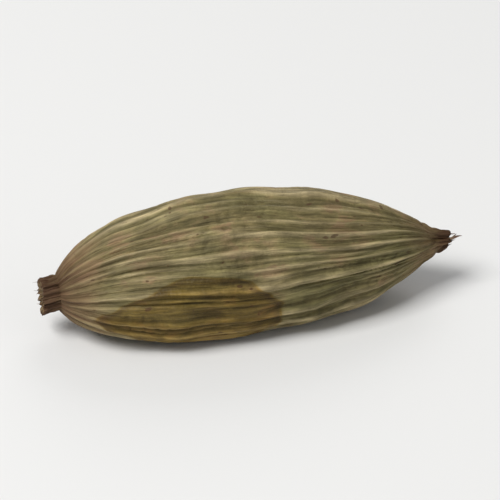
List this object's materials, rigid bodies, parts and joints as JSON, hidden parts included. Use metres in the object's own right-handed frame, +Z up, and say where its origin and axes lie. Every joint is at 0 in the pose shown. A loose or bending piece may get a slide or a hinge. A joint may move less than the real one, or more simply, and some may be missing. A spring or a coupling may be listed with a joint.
{
  "type": "green cardamom pod",
  "caption": "Dried green cardamom pod: a ribbed, bluntly triangular husk tapering to a withered tip and a broken stalk stub, lying on a small flat spot; a whole spice.",
  "frame": {"origin": "on the surface that the pod lies on, under the middle of its box", "axes": "+X along the pod from the stalk stub to the withered tip, +Z up, away from the surface"},
  "size_m": [0.02, 0.0068, 0.0065],
  "materials": {
    "husk": "matt dried fibrous husk, olive green to straw, brown at both ends"
  },
  "bodies": {
    "root": {"cardamom_pod": "husk"}
  },
  "joints": []
}
